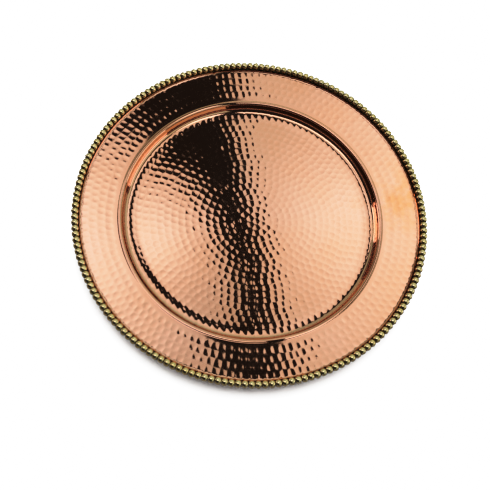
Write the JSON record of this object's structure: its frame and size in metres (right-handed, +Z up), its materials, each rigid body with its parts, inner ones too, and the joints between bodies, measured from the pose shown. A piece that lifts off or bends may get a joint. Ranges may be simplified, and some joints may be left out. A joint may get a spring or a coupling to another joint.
{
  "type": "hammered copper tray",
  "caption": "Round hammered copper tray with a shallow flat well, a wide sloping rim, an upturned lip and a border of brass beads.",
  "frame": {"origin": "centre of the flat floor's underside, which rests on the table", "axes": "+Z up along the tray's axis of revolution, out of the well; +X through the middle of one bead"},
  "size_m": [0.33, 0.33, 0.0198],
  "materials": {
    "copper": "hand-hammered copper, polished bright, with warm orange and brown clouding",
    "brass_wire": "drawn brass wire, dulled and dark between the beads",
    "brass_beads": "short round brass beads, polished on their outsides, dark brown in the gaps",
    "solder": "soft solder, toned down to a dark brown"
  },
  "bodies": {
    "root": {"tray_body": "copper", "border_wire": "brass_wire", "border_beads": "brass_beads", "solder_seam": "solder"}
  },
  "joints": []
}
